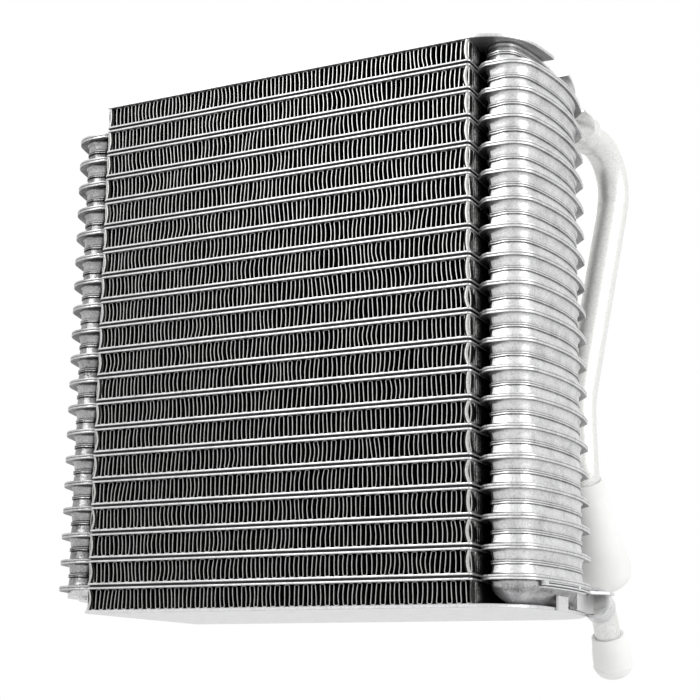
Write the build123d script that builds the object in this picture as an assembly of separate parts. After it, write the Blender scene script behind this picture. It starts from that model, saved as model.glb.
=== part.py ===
from build123d import *
import math
import os

# Laminated air conditioning evaporator core, in millimetres.
# X runs along the width of the core, -Y is the front face, +Z is up the stack.
# The origin is the centre of the core on the underside of the bottom end plate.

# Core
CORE_WIDTH = 177.0
CORE_DEPTH = 90.0
CORE_HEIGHT = 230.3
TUBE_COUNT = 19
TUBE_THICKNESS = 2.7
END_PLATE_THICKNESS = 1.5

# Corrugated fins, one folded strip in each row
FIN_LEGS = 32
FIN_STRIP = 0.35
FIN_SETBACK = 1.0
FIN_SIDE_CLEARANCE = 0.6

# Rounded flange at each end of a tube: a corner, a crowned tip and a cut rear corner
FLANGE_REACH = 27.7
FLANGE_THICKNESS = 2.0
FLANGE_SETBACK = 4.7
FLANGE_CORNER = 11.7
FLANGE_CROWN = 112.0
FLANGE_CUT_DEPTH = 16.0
FLANGE_CUT_WIDTH = 13.7
CORNER_POINTS = 5
CROWN_POINTS = 5

# Tank cups that stand on the flanges
CUP_MARGIN = 1.9
CUP_CUT_MARGIN = 3.2
CUP_INNER_GAP = 3.4
CUP_CORNER = 6.0
CUP_DRAFT = 6.0

# End plates and the end pieces of the tanks
COVER_MARGIN = 2.9
COVER_CORNER = 25.0
COVER_NOTCH_FRONT = -10.0
COVER_NOTCH_REAR = 8.0
COVER_NOTCH_DEPTH = 6.5
COVER_REAR_CUT = 14.0
SIDE_FOLD_THICKNESS = 0.5
BOWL_DRAFT = 30.0
BOWL_RIM = 2.5
BLANK_THICKNESS = 2.4
BLANK_STEP = 1.3
BLANK_STEP_MARGIN = 1.5

# Outlet collar behind the top of the outlet tank, and its bracket
OUTLET_INSET = 5.8
COLLAR_WALL = 0.4
COLLAR_RISE = 1.3
COLLAR_OVERLAP = 15.0
COLLAR_OVERHANG = 1.0
BRACKET_THICKNESS = 2.4
BRACKET_OVERLAP = 17.0
BRACKET_OVERHANG = 6.0
BRACKET_INSET = 3.7

# Suction pipe: bends are placed from the tip of the flanges and the rear face of the core
PIPE_DIAMETER = 14.0
PIPE_WALL = 1.25
ELBOW_OUT = 0.3
ELBOW_BEHIND = 29.0
ELBOW_RADIUS = 22.0
KNEE_OUT = -14.4
KNEE_BEHIND = 5.5
KNEE_RISE = 0.43
KNEE_RADIUS = 60.0
HEEL_OUT = -13.6
HEEL_RISE = 0.286
HEEL_RADIUS = 18.0
PIPE_TAIL = 46.2

# Inlet header, and the neck that leaves the socket at its rear corner
HEADER_FRONT = 3.0
HEADER_MARGIN = 1.9
HEADER_RIM = 1.4
SOCKET_WALL = 1.2
SOCKET_LENGTH = 8.5
NECK_DIAMETER = 10.8
NECK_WALL = 1.2
NECK_INSET = 3.9
NECK_SETBACK = 13.0
NECK_RISE = 6.3
NECK_TURN = (0.4, 11.5, -3.0)
NECK_RADIUS = 12.0
NECK_TAIL = 23.0

# Sealing caps pushed over both pipe ends
PORT_TILT = 30.0
CAP_CLEARANCE = 0.15
CAP_DOME = 0.65
CAP_SLEEVE_TAPER = 0.2
CAP_BODY_TAPER = 0.25
CAP_END = 2.0
INLET_CAP_WALL = 1.6
INLET_CAP_LENGTH = 19.5
INLET_CAP_SLEEVE = 4.0
INLET_CAP_SHOULDER = 5.0
INLET_CAP_FLARE = 1.3
SUCTION_CAP_WALL = 1.1
SUCTION_CAP_LENGTH = 52.0
SUCTION_CAP_SLEEVE = 23.0
SUCTION_CAP_SHOULDER = 10.0
SUCTION_CAP_FLARE = 5.6

FIN_ROWS_HEIGHT = CORE_HEIGHT - 2 * END_PLATE_THICKNESS - TUBE_COUNT * TUBE_THICKNESS
FIN_HEIGHT = FIN_ROWS_HEIGHT / (TUBE_COUNT + 1)
PITCH = TUBE_THICKNESS + FIN_HEIGHT
HALF_WIDTH = CORE_WIDTH / 2
HALF_DEPTH = CORE_DEPTH / 2
FLANGE_HALF_DEPTH = HALF_DEPTH - FLANGE_SETBACK
FLANGE_TIP = HALF_WIDTH + FLANGE_REACH
FLANGE_RECESS = (TUBE_THICKNESS - FLANGE_THICKNESS) / 2
CUP_HEIGHT = FIN_HEIGHT / 2 + FLANGE_RECESS
TOP_ROW = END_PLATE_THICKNESS + TUBE_COUNT * PITCH
COLLAR_RADIUS = PIPE_DIAMETER / 2 + COLLAR_WALL
OUTLET_X = FLANGE_TIP - OUTLET_INSET
OUTLET_Z = TOP_ROW - FLANGE_RECESS + COLLAR_RISE - COLLAR_RADIUS
COLLAR_REAR = HALF_DEPTH + COLLAR_OVERHANG
NECK_X = FLANGE_TIP - NECK_INSET
NECK_Y = HALF_DEPTH - NECK_SETBACK
PIPE_HEEL = (FLANGE_TIP + HEEL_OUT, HALF_DEPTH + KNEE_BEHIND, TOP_ROW * HEEL_RISE)
NECK_PORT = (NECK_X + NECK_TURN[0], NECK_Y + NECK_TURN[1], NECK_RISE + NECK_TURN[2])


def tube_bottom(number):
    """Height of the underside of a tube; tube 1 is the top one."""
    return END_PLATE_THICKNESS + FIN_HEIGHT + (TUBE_COUNT - number) * PITCH


def arc_points(centre, radius, start, end, count):
    """Points on an arc between two angles in radians."""
    angles = [start + (end - start) * step / (count - 1) for step in range(count)]
    return [(centre[0] + radius * math.cos(a), centre[1] + radius * math.sin(a)) for a in angles]


def round_end(tip, half_depth, corner, crown):
    """Front half of a round end: a corner arc that runs into the crowned tip, with its angle."""
    centre = tip - crown
    corner_y = corner - half_depth
    corner_x = centre + math.sqrt((crown - corner) ** 2 - corner_y**2)
    meet = math.atan2(corner_y, corner_x - centre)
    points = arc_points((corner_x, corner_y), corner, -math.pi / 2, meet, CORNER_POINTS)
    return points, centre, meet


def flange_outline(inset, cut_inset):
    """Round end of a flange from front to rear, moved in, with its rear corner cut straight."""
    points, centre, meet = round_end(
        FLANGE_TIP - inset, FLANGE_HALF_DEPTH - inset, FLANGE_CORNER - inset, FLANGE_CROWN - inset
    )
    slope = math.atan2(FLANGE_CUT_WIDTH, FLANGE_CUT_DEPTH)
    start = math.asin((FLANGE_HALF_DEPTH - FLANGE_CUT_DEPTH) / FLANGE_CROWN)
    distance = FLANGE_CROWN * math.cos(start - slope) - cut_inset
    last = slope - math.acos(distance / (FLANGE_CROWN - inset))
    points += arc_points((centre, 0), FLANGE_CROWN - inset, meet, last, CROWN_POINTS)[1:]
    rear = FLANGE_HALF_DEPTH - inset
    return points + [(centre + (distance - math.sin(slope) * rear) / math.cos(slope), rear)]


def mirrored(points):
    """The same outline for the left end."""
    return [(-x, y) for x, y in reversed(points)]


def prism(points, bottom, height):
    """Straight prism on a closed outline."""
    return extrude(Pos(0, 0, bottom) * make_face(Polyline(*points, close=True)), amount=height)


def cup(points, base, height, draft):
    """Drafted wall of a cup that rises from its base, or hangs where the height is negative."""
    outline = Pos(0, 0, base) * make_face(Polyline(*points, close=True))
    direction = (0, 0, math.copysign(1, height))
    return extrude(outline, amount=abs(height), dir=direction, taper=draft)


def cup_outline(inset=0):
    """Long oval of a tank cup at the right end: round outside, nearly straight inside."""
    outer = flange_outline(CUP_MARGIN + inset, CUP_CUT_MARGIN + inset)
    inner_x = HALF_WIDTH + CUP_INNER_GAP + inset
    corner_y = outer[-1][1] - CUP_CORNER
    return outer + [(inner_x, corner_y), (inner_x, -corner_y)]


def flange_plate(inner_x):
    """Flange at the right end, from a line inside the core to its tip."""
    front = [(inner_x, -FLANGE_HALF_DEPTH)]
    rear = [(inner_x, FLANGE_HALF_DEPTH)]
    return front + flange_outline(0, 0) + rear


def flange_bottom(number):
    """Height of the underside of a tube's flanges, which are thinner than the tube."""
    return tube_bottom(number) + FLANGE_RECESS


def tube(number):
    """Brazed pair of stamped plates, with tank cups above and below the flanges."""
    bottom = flange_bottom(number)
    top = bottom + FLANGE_THICKNESS
    right = cup_outline()
    left = mirrored(right)
    solid = Pos(0, 0, tube_bottom(number)) * Box(
        CORE_WIDTH, CORE_DEPTH, TUBE_THICKNESS, align=(Align.CENTER, Align.CENTER, Align.MIN)
    )
    plate = flange_plate(HALF_WIDTH - FLANGE_SETBACK)
    solid += prism(plate, bottom, FLANGE_THICKNESS) + prism(mirrored(plate), bottom, FLANGE_THICKNESS)
    solid += cup(right, top, CUP_HEIGHT, CUP_DRAFT)
    if number < TUBE_COUNT:
        solid += cup(right, bottom, -CUP_HEIGHT, CUP_DRAFT)
        solid += cup(left, bottom, -CUP_HEIGHT, CUP_DRAFT)
    if number > 1:
        solid += cup(left, top, CUP_HEIGHT, CUP_DRAFT)
    return solid


def fin(number):
    """Corrugated strip whose folds touch the tubes below and above it."""
    bottom = END_PLATE_THICKNESS + (TUBE_COUNT + 1 - number) * PITCH
    span = CORE_WIDTH - 2 * FIN_SIDE_CLEARANCE
    leg_pitch = span / FIN_LEGS
    crest = FIN_STRIP / 2 * math.hypot(leg_pitch, FIN_HEIGHT) / leg_pitch
    levels = (bottom + crest, bottom + FIN_HEIGHT - crest)
    folds = [(-span / 2 + fold * leg_pitch, levels[fold % 2]) for fold in range(FIN_LEGS + 1)]
    outline = [(x, z + crest) for x, z in folds] + [(x, z - crest) for x, z in reversed(folds)]
    depth = CORE_DEPTH - 2 * FIN_SETBACK
    front = Plane(origin=(0, -depth / 2, 0), x_dir=(1, 0, 0), z_dir=(0, -1, 0))
    return extrude(front * make_face(Polyline(*outline, close=True)), amount=-depth)


def end_plate(bottom, fold_bottom):
    """Flat plate over the end fin row, with its left edge folded along the row."""
    tip = FLANGE_TIP - COVER_MARGIN
    curve, centre, meet = round_end(tip, HALF_DEPTH, COVER_CORNER, FLANGE_CROWN)
    curve += arc_points((centre, 0), FLANGE_CROWN, meet, -meet, 2 * CROWN_POINTS - 1)[1:-1]
    rear = [(x, -y) for x, y in reversed(curve[:CORNER_POINTS])]
    outline = [(-HALF_WIDTH, -HALF_DEPTH), *curve, *rear, (-HALF_WIDTH, HALF_DEPTH)]
    fold = Pos(-HALF_WIDTH, 0, fold_bottom) * Box(
        SIDE_FOLD_THICKNESS,
        CORE_DEPTH - 2 * FIN_SETBACK,
        FIN_HEIGHT,
        align=(Align.MIN, Align.CENTER, Align.MIN),
    )
    return prism(outline, bottom, END_PLATE_THICKNESS) + fold


def cover_notch(bottom, front, rear):
    """Cutter for a notch in the round cover end of an end plate."""
    inner = FLANGE_TIP - COVER_MARGIN - COVER_NOTCH_DEPTH
    return Pos(inner, front, bottom) * Box(
        FLANGE_TIP,
        rear - front,
        END_PLATE_THICKNESS,
        align=(Align.MIN, Align.MIN, Align.MIN),
    )


def top_end_plate():
    """Top plate, notched beside the outlet tank and cut off before the bracket."""
    bottom = TOP_ROW + FIN_HEIGHT
    plate = end_plate(bottom, TOP_ROW)
    plate -= cover_notch(bottom, COVER_NOTCH_FRONT, COVER_NOTCH_REAR)
    return plate - cover_notch(bottom, HALF_DEPTH - COVER_REAR_CUT, HALF_DEPTH)


def bottom_end_plate():
    """Bottom plate, cut back where the inlet neck passes its edge."""
    plate = end_plate(0, END_PLATE_THICKNESS)
    return plate - cover_notch(0, HALF_DEPTH - COVER_REAR_CUT, HALF_DEPTH) - neck_stock()


def top_end_cup():
    """Closed cup between the top tube and the top end plate, over the outlet tank."""
    base = TOP_ROW + FIN_HEIGHT / 2
    return cup(cup_outline(), base + FIN_HEIGHT / 2, -FIN_HEIGHT / 2, CUP_DRAFT)


def bottom_end_cup():
    """Bowl that closes the right tank under the lowest tube."""
    top = flange_bottom(TUBE_COUNT)
    bowl = prism(cup_outline(), top - BOWL_RIM, BOWL_RIM)
    depth = top - END_PLATE_THICKNESS - BOWL_RIM
    return bowl + cup(cup_outline(), top - BOWL_RIM, -depth, BOWL_DRAFT)


def left_end_cap():
    """Blank with a shallow step that closes the left tank under the lowest tube."""
    top = flange_bottom(TUBE_COUNT)
    step = cup_outline(BLANK_STEP_MARGIN)
    blank = prism(mirrored(flange_plate(HALF_WIDTH)), top - BLANK_THICKNESS, BLANK_THICKNESS)
    return blank + cup(mirrored(step), top - BLANK_THICKNESS, -BLANK_STEP, CUP_DRAFT)


def outlet_collar():
    """Round collar between the two top flanges and the suction pipe."""
    start = Plane(origin=(OUTLET_X, HALF_DEPTH - COLLAR_OVERLAP, OUTLET_Z), z_dir=(0, 1, 0))
    collar = start * Cylinder(
        COLLAR_RADIUS,
        COLLAR_OVERLAP + COLLAR_OVERHANG,
        align=(Align.CENTER, Align.CENTER, Align.MIN),
    )
    return collar - tube(1) - tube(2)


def outlet_bracket():
    """Tab on the top flange that reaches back over the collar."""
    inner = HALF_WIDTH + CUP_INNER_GAP
    outer = FLANGE_TIP - BRACKET_INSET
    front = HALF_DEPTH - BRACKET_OVERLAP
    rear = HALF_DEPTH + BRACKET_OVERHANG
    corners = [(inner, front), (outer, front), (outer, rear), (inner, rear)]
    tab = prism(corners, TOP_ROW - FLANGE_RECESS, BRACKET_THICKNESS)
    return tab - tube(1) - outlet_collar() - suction_pipe()


def port_point(origin, distance):
    """Point on the axis of a port, measured from its last bend."""
    turn = math.radians(PORT_TILT)
    x, y, z = origin
    return (x, y + distance * math.sin(turn), z - distance * math.cos(turn))


def port(origin, distance):
    """Place on a port whose Z axis runs out of the opening: down and to the rear."""
    return Pos(*port_point(origin, distance)) * Rot(180 + PORT_TILT, 0, 0)


def rod(radius, length):
    """Plain cylinder that starts at the origin."""
    return Cylinder(radius, length, align=(Align.CENTER, Align.CENTER, Align.MIN))


def bent_rod(points, radii, radius):
    """Round bar along straight runs that are joined by bends."""
    path = FilletPolyline(*points, radius=radii)
    section = Plane(origin=path @ 0, z_dir=path % 0) * Circle(radius)
    return sweep(section, path=path)


def suction_pipe():
    """Bent pipe from the collar down behind the tank to its port, bored at its open end."""
    elbow = (FLANGE_TIP + ELBOW_OUT, HALF_DEPTH + ELBOW_BEHIND, OUTLET_Z)
    knee = (FLANGE_TIP + KNEE_OUT, HALF_DEPTH + KNEE_BEHIND, TOP_ROW * KNEE_RISE)
    start = (OUTLET_X, COLLAR_REAR, OUTLET_Z)
    points = [start, elbow, knee, PIPE_HEEL, port_point(PIPE_HEEL, PIPE_TAIL)]
    pipe = bent_rod(points, [ELBOW_RADIUS, KNEE_RADIUS, HEEL_RADIUS], PIPE_DIAMETER / 2)
    bore_length = PIPE_TAIL / 2
    bore = port(PIPE_HEEL, PIPE_TAIL - bore_length) * rod(PIPE_DIAMETER / 2 - PIPE_WALL, bore_length)
    return pipe - bore - outlet_collar()


def neck_stock():
    """Outer shape of the inlet neck, from inside the header to its port."""
    points = [(NECK_X, NECK_Y, NECK_RISE), NECK_PORT, port_point(NECK_PORT, NECK_TAIL)]
    return bent_rod(points, [NECK_RADIUS], NECK_DIAMETER / 2)


def inlet_header():
    """Formed duct beside the bottom bowl, its wide upper rim, and a socket for the neck."""
    height = flange_bottom(TUBE_COUNT) - END_PLATE_THICKNESS
    edge = [point for point in flange_outline(HEADER_MARGIN, HEADER_MARGIN) if point[1] > HEADER_FRONT]
    inner = HALF_WIDTH + CUP_INNER_GAP
    radius = NECK_DIAMETER / 2 + SOCKET_WALL
    rear = NECK_Y + radius
    duct = prism(
        [(inner, HEADER_FRONT), (edge[0][0], HEADER_FRONT), *edge[:-1], (NECK_X, rear), (inner, rear)],
        END_PLATE_THICKNESS,
        height,
    )
    rim = [(inner, HEADER_FRONT), *edge[:-1], (NECK_X + radius, NECK_Y), (NECK_X + radius, rear)]
    duct += prism([*rim, (inner, rear)], END_PLATE_THICKNESS + height - HEADER_RIM, HEADER_RIM)
    start = Vector(NECK_X, NECK_Y, NECK_RISE)
    socket = Plane(origin=start, z_dir=Vector(*NECK_TURN)) * rod(radius, SOCKET_LENGTH)
    return duct + socket - bottom_end_cup() - neck_stock() - bottom_end_plate()


def inlet_neck():
    """Short pipe brazed into the socket of the header, bored at its open end."""
    bore_length = NECK_TAIL / 2
    bore = port(NECK_PORT, NECK_TAIL - bore_length) * rod(NECK_DIAMETER / 2 - NECK_WALL, bore_length)
    return neck_stock() - bore


def domed(profile, length):
    """Solid turned body from radii and distances, closed by a spherical dome at its end."""
    end, shoulder = profile[-1]
    dome = length - shoulder
    radius = (end**2 + dome**2) / (2 * dome)
    half = math.asin(end / radius) / 2
    middle = (radius * math.sin(half), length - radius + radius * math.cos(half))
    outline = [
        Polyline((0, length), (0, 0), *profile),
        ThreePointArc(profile[-1], middle, (0, length)),
    ]
    return revolve(Plane.XZ * make_face(outline), axis=Axis.Z)


def cap(seat, wall, length, flare, sleeve, shoulder):
    """Sealing cap: a sleeve open at its mouth, a shoulder and a wide body with a domed end."""
    mouth = seat + wall
    end = mouth + flare
    profile = [
        (mouth, 0),
        (mouth + flare * CAP_SLEEVE_TAPER, sleeve),
        (end - flare * CAP_BODY_TAPER, sleeve + shoulder),
        (end, length - end * CAP_DOME),
    ]
    return domed(profile, length) - rod(seat + CAP_CLEARANCE, length - seat)


def suction_cap():
    """Long cap on the end of the suction pipe."""
    seat = PIPE_DIAMETER / 2
    mouth = PIPE_TAIL + CAP_END + seat - SUCTION_CAP_LENGTH
    return port(PIPE_HEEL, mouth) * cap(
        seat,
        SUCTION_CAP_WALL,
        SUCTION_CAP_LENGTH,
        SUCTION_CAP_FLARE,
        SUCTION_CAP_SLEEVE,
        SUCTION_CAP_SHOULDER,
    )


def inlet_cap():
    """Short cap on the end of the inlet neck."""
    seat = NECK_DIAMETER / 2
    mouth = NECK_TAIL + CAP_END + seat - INLET_CAP_LENGTH
    return port(NECK_PORT, mouth) * cap(
        seat,
        INLET_CAP_WALL,
        INLET_CAP_LENGTH,
        INLET_CAP_FLARE,
        INLET_CAP_SLEEVE,
        INLET_CAP_SHOULDER,
    )


def evaporator():
    """Every piece under its node name."""
    pieces = {}
    for number in range(1, TUBE_COUNT + 1):
        pieces[f"tube_{number:02d}"] = tube(number)
    for number in range(1, TUBE_COUNT + 2):
        pieces[f"fin_{number:02d}"] = fin(number)
    pieces["top_end_plate"] = top_end_plate()
    pieces["bottom_end_plate"] = bottom_end_plate()
    pieces["top_end_cup"] = top_end_cup()
    pieces["bottom_end_cup"] = bottom_end_cup()
    pieces["left_end_cap"] = left_end_cap()
    pieces["outlet_collar"] = outlet_collar()
    pieces["outlet_bracket"] = outlet_bracket()
    pieces["suction_pipe"] = suction_pipe()
    pieces["inlet_header"] = inlet_header()
    pieces["inlet_neck"] = inlet_neck()
    pieces["suction_cap"] = suction_cap()
    pieces["inlet_cap"] = inlet_cap()
    return pieces


os.makedirs("parts", exist_ok=True)
for name, piece in evaporator().items():
    export_step(piece, f"parts/{name}.step")
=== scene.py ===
import math

import bpy
import numpy as np
from mathutils import Matrix


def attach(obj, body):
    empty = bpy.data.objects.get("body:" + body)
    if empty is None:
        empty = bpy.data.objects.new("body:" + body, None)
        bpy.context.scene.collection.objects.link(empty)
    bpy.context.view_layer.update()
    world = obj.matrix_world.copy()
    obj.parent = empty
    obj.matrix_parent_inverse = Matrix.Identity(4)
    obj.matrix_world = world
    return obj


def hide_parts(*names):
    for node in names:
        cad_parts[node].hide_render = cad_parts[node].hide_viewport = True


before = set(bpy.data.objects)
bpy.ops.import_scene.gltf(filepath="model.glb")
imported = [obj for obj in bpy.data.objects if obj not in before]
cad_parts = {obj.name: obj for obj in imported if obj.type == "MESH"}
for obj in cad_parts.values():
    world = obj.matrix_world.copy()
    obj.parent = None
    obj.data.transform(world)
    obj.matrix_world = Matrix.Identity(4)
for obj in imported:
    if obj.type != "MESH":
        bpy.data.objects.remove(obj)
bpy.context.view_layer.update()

# CAMERA
# The photograph was taken from low down, just right of the front of the core, with a long lens.
# The principal point lies a little left of and below the middle of the picture.
PICTURE = 700
FOCAL_PIXELS = 1504.0
PRINCIPAL_POINT = (330.0, 400.0)
SENSOR = 36.0
CAMERA_PLACE = (0.2981, -0.5754, -0.0353)
CAMERA_RIGHT = (0.8920, 0.4518, 0.0139)
CAMERA_UP = (0.0766, -0.1815, 0.9804)
CAMERA_BACK = (0.4454, -0.8735, -0.1965)

camera = bpy.data.objects.new("camera", bpy.data.cameras.new("camera"))
bpy.context.scene.collection.objects.link(camera)
camera.matrix_world = Matrix(
    [[r, u, b, p] for r, u, b, p in zip(CAMERA_RIGHT, CAMERA_UP, CAMERA_BACK, CAMERA_PLACE)]
    + [[0, 0, 0, 1]]
)
camera.data.sensor_width = SENSOR
camera.data.lens = FOCAL_PIXELS / PICTURE * SENSOR
camera.data.shift_x = 0.5 - PRINCIPAL_POINT[0] / PICTURE
camera.data.shift_y = PRINCIPAL_POINT[1] / PICTURE - 0.5
bpy.context.scene.camera = camera
bpy.context.scene.view_settings.view_transform = "Standard"

# ROOM
# A pale floor well below the hanging core, a white surround, and three large soft lamps.
# What the camera and bare metal see of the surround is white; the rest of it lights the core softly.
FLOOR_HEIGHT = -0.12
FLOOR_SIZE = 3.0
FLOOR_COLOUR = (0.72, 0.72, 0.72, 1.0)
FLOOR_ROUGHNESS = 0.9
SURROUND_LIGHT = 0.78


def shader(tree, kind, inputs=None, **settings):
    """New node with its settings and the values of its inputs."""
    made = tree.nodes.new(kind)
    for key, value in settings.items():
        setattr(made, key, value)
    for key, value in (inputs or {}).items():
        made.inputs[key].default_value = value
    return made


world = bpy.data.worlds.new("surround")
bpy.context.scene.world = world
world.use_nodes = True
tree = world.node_tree
tree.nodes.clear()
path = shader(tree, "ShaderNodeLightPath")
seen = shader(tree, "ShaderNodeMath", operation="MAXIMUM")
seen_through = shader(tree, "ShaderNodeMath", operation="MAXIMUM")
strength = shader(tree, "ShaderNodeMapRange", {"To Min": SURROUND_LIGHT, "To Max": 1.0})
background = shader(tree, "ShaderNodeBackground", {"Color": (1.0, 1.0, 1.0, 1.0)})
tree.links.new(path.outputs["Is Camera Ray"], seen.inputs[0])
tree.links.new(path.outputs["Is Glossy Ray"], seen.inputs[1])
tree.links.new(seen.outputs[0], seen_through.inputs[0])
tree.links.new(path.outputs["Is Transmission Ray"], seen_through.inputs[1])
tree.links.new(seen_through.outputs[0], strength.inputs["Value"])
tree.links.new(strength.outputs["Result"], background.inputs["Strength"])
tree.links.new(background.outputs[0], shader(tree, "ShaderNodeOutputWorld").inputs["Surface"])

floor_mesh = bpy.data.meshes.new("floor")
half = FLOOR_SIZE / 2
floor_mesh.from_pydata(
    [(x, y, FLOOR_HEIGHT) for x, y in ((-half, -half), (half, -half), (half, half), (-half, half))],
    [],
    [(0, 1, 2, 3)],
)
floor = bpy.data.objects.new("floor", floor_mesh)
bpy.context.scene.collection.objects.link(floor)
floor_paint = bpy.data.materials.new("floor_paint")
floor_paint.use_nodes = True
floor_bsdf = floor_paint.node_tree.nodes["Principled BSDF"]
floor_bsdf.inputs["Base Color"].default_value = FLOOR_COLOUR
floor_bsdf.inputs["Roughness"].default_value = FLOOR_ROUGHNESS
floor_mesh.materials.append(floor_paint)


def lamp(name, place, aim, size, power):
    """Square soft lamp turned towards a point."""
    light = bpy.data.lights.new(name, "AREA")
    light.shape = "SQUARE"
    light.size = size
    light.energy = power
    made = bpy.data.objects.new(name, light)
    direction = np.subtract(aim, place)
    back = -direction / np.linalg.norm(direction)
    side = np.cross((0.0, 0.0, 1.0), back)
    side /= np.linalg.norm(side)
    up = np.cross(back, side)
    made.matrix_world = Matrix(
        [[side[k], up[k], back[k], place[k]] for k in range(3)] + [[0, 0, 0, 1]]
    )
    bpy.context.scene.collection.objects.link(made)


lamp("front_lamp", place=(-0.35, -0.95, 0.75), aim=(0.0, 0.0, 0.12), size=0.55, power=5.5)
lamp("side_lamp", place=(1.05, -0.25, 0.45), aim=(0.05, 0.0, 0.12), size=0.6, power=4.5)
lamp("rear_lamp", place=(-0.3, 0.95, 0.8), aim=(0.0, 0.0, 0.12), size=0.7, power=6.0)

# SHEET FINISH
# Every plate is aluminium sheet that has been through a brazing furnace: a satin grey-white
# skin with fine grain and faint cloudy patches. Shade is painted on as well: a point attribute darkens
# corners, grooves and undersides, where shade falls, and the left tank.


def group(name, inputs, outputs):
    """Empty node group with float or colour sockets."""
    made = bpy.data.node_groups.new(name, "ShaderNodeTree")
    for direction, sockets in (("INPUT", inputs), ("OUTPUT", outputs)):
        for socket, kind in sockets.items():
            made.interface.new_socket(socket, in_out=direction, socket_type=kind)
    return made, made.nodes.new("NodeGroupInput"), made.nodes.new("NodeGroupOutput")


COLOUR = "NodeSocketColor"
VALUE = "NodeSocketFloat"
sheet_skin, entry, leave = group(
    "sheet_skin",
    {"Colour": COLOUR, "Shade": COLOUR, "Painted_Shade": VALUE, "Patch": VALUE, "Rough": VALUE},
    {"Colour": COLOUR, "Rough": VALUE, "Height": VALUE},
)
place = shader(sheet_skin, "ShaderNodeTexCoord")
cloud = shader(sheet_skin, "ShaderNodeTexNoise", {"Scale": 130.0, "Detail": 4.0, "Roughness": 0.6})
grain = shader(sheet_skin, "ShaderNodeTexNoise", {"Scale": 1150.0, "Detail": 3.0, "Roughness": 0.75})
patch = shader(sheet_skin, "ShaderNodeMapRange", {"From Min": 0.42, "From Max": 0.72})
patch_amount = shader(sheet_skin, "ShaderNodeMath", operation="MULTIPLY")
speckle = shader(
    sheet_skin, "ShaderNodeMapRange", {"From Min": 0.42, "From Max": 0.72, "To Min": 0.0, "To Max": 0.32}
)
dirt = shader(sheet_skin, "ShaderNodeMath", operation="ADD")
# The shade painted through the point attribute adds to the random patches and grain.
dirt_and_shade = shader(sheet_skin, "ShaderNodeMath", operation="ADD", use_clamp=True)
blend = shader(sheet_skin, "ShaderNodeMix", data_type="RGBA")
rough_gain = shader(sheet_skin, "ShaderNodeMapRange", {"To Min": -0.05, "To Max": 0.1})
rough_sum = shader(sheet_skin, "ShaderNodeMath", operation="ADD")
for start, end in (
    (place.outputs["Object"], cloud.inputs["Vector"]),
    (place.outputs["Object"], grain.inputs["Vector"]),
    (cloud.outputs["Fac"], patch.inputs["Value"]),
    (patch.outputs["Result"], patch_amount.inputs[0]),
    (entry.outputs["Patch"], patch_amount.inputs[1]),
    (grain.outputs["Fac"], speckle.inputs["Value"]),
    (patch_amount.outputs[0], dirt.inputs[0]),
    (speckle.outputs["Result"], dirt.inputs[1]),
    (dirt.outputs[0], dirt_and_shade.inputs[0]),
    (entry.outputs["Painted_Shade"], dirt_and_shade.inputs[1]),
    (dirt_and_shade.outputs[0], blend.inputs["Factor"]),
    (entry.outputs["Colour"], blend.inputs["A"]),
    (entry.outputs["Shade"], blend.inputs["B"]),
    (blend.outputs["Result"], leave.inputs["Colour"]),
    (cloud.outputs["Fac"], rough_gain.inputs["Value"]),
    (rough_gain.outputs["Result"], rough_sum.inputs[0]),
    (entry.outputs["Rough"], rough_sum.inputs[1]),
    (rough_sum.outputs[0], leave.inputs["Rough"]),
    (grain.outputs["Fac"], leave.inputs["Height"]),
):
    sheet_skin.links.new(start, end)


def sheet_metal(name, colour, shade, patch, rough, metallic, bump):
    """Aluminium with the brazed skin, darkened by the shade painted in its point attribute."""
    material = bpy.data.materials.new(name)
    material.use_nodes = True
    nodes = material.node_tree
    bsdf = nodes.nodes["Principled BSDF"]
    bsdf.inputs["Metallic"].default_value = metallic
    painted_shade = shader(nodes, "ShaderNodeAttribute", attribute_name="painted_shade")
    skin = shader(nodes, "ShaderNodeGroup", node_tree=sheet_skin)
    skin.inputs["Colour"].default_value = (*colour, 1.0)
    skin.inputs["Shade"].default_value = (*shade, 1.0)
    skin.inputs["Patch"].default_value = patch
    skin.inputs["Rough"].default_value = rough
    relief = shader(nodes, "ShaderNodeBump", {"Strength": 0.35, "Distance": bump})
    nodes.links.new(painted_shade.outputs["Fac"], skin.inputs["Painted_Shade"])
    nodes.links.new(skin.outputs["Colour"], bsdf.inputs["Base Color"])
    nodes.links.new(skin.outputs["Rough"], bsdf.inputs["Roughness"])
    nodes.links.new(skin.outputs["Height"], relief.inputs["Height"])
    nodes.links.new(relief.outputs["Normal"], bsdf.inputs["Normal"])
    return material


# PLATE PAIRS
# Nineteen flat tubes, each of two stamped aluminium plates brazed rim to rim. Both ends widen into a
# round flange with a tank cup above and below, whose seam lip is brazed to the lip of the next cup.
MM = 0.001
HALF_WIDTH = 88.5
HALF_DEPTH = 45.0
TUBE_COUNT = 19
TUBE_THICKNESS = 2.7
FIN_HEIGHT = 8.8
PLATE_THICKNESS = 1.5
PITCH = TUBE_THICKNESS + FIN_HEIGHT
FLANGE_THICKNESS = 2.0
FLANGE_RECESS = (TUBE_THICKNESS - FLANGE_THICKNESS) / 2
FLANGE_TIP = HALF_WIDTH + 27.7
FLANGE_HALF_DEPTH = 40.3
FLANGE_CORNER = 11.7
FLANGE_CROWN = 112.0
CORNER_POINTS = 12
CROWN_POINTS = 16
CUT_DEPTH = 16.0
CUT_WIDTH = 13.7
CUT_POINTS = 5
THROAT = np.array([(HALF_WIDTH - 0.5, -35.0), (HALF_WIDTH + 0.9, -36.6), (HALF_WIDTH + 3.1, -39.3)])
THROAT_END = HALF_WIDTH + 5.1
CORE_CORNER = 1.6
LEAST_CORNER = 0.1
TOP_ROW = PLATE_THICKNESS + TUBE_COUNT * PITCH


def arc(centre, radius, start, end, count):
    """Points at centre + radius (cos a, sin a) between two angles."""
    angle = np.linspace(start, end, count)
    return np.stack([centre[0] + radius * np.cos(angle), centre[1] + radius * np.sin(angle)], axis=-1)


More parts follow.
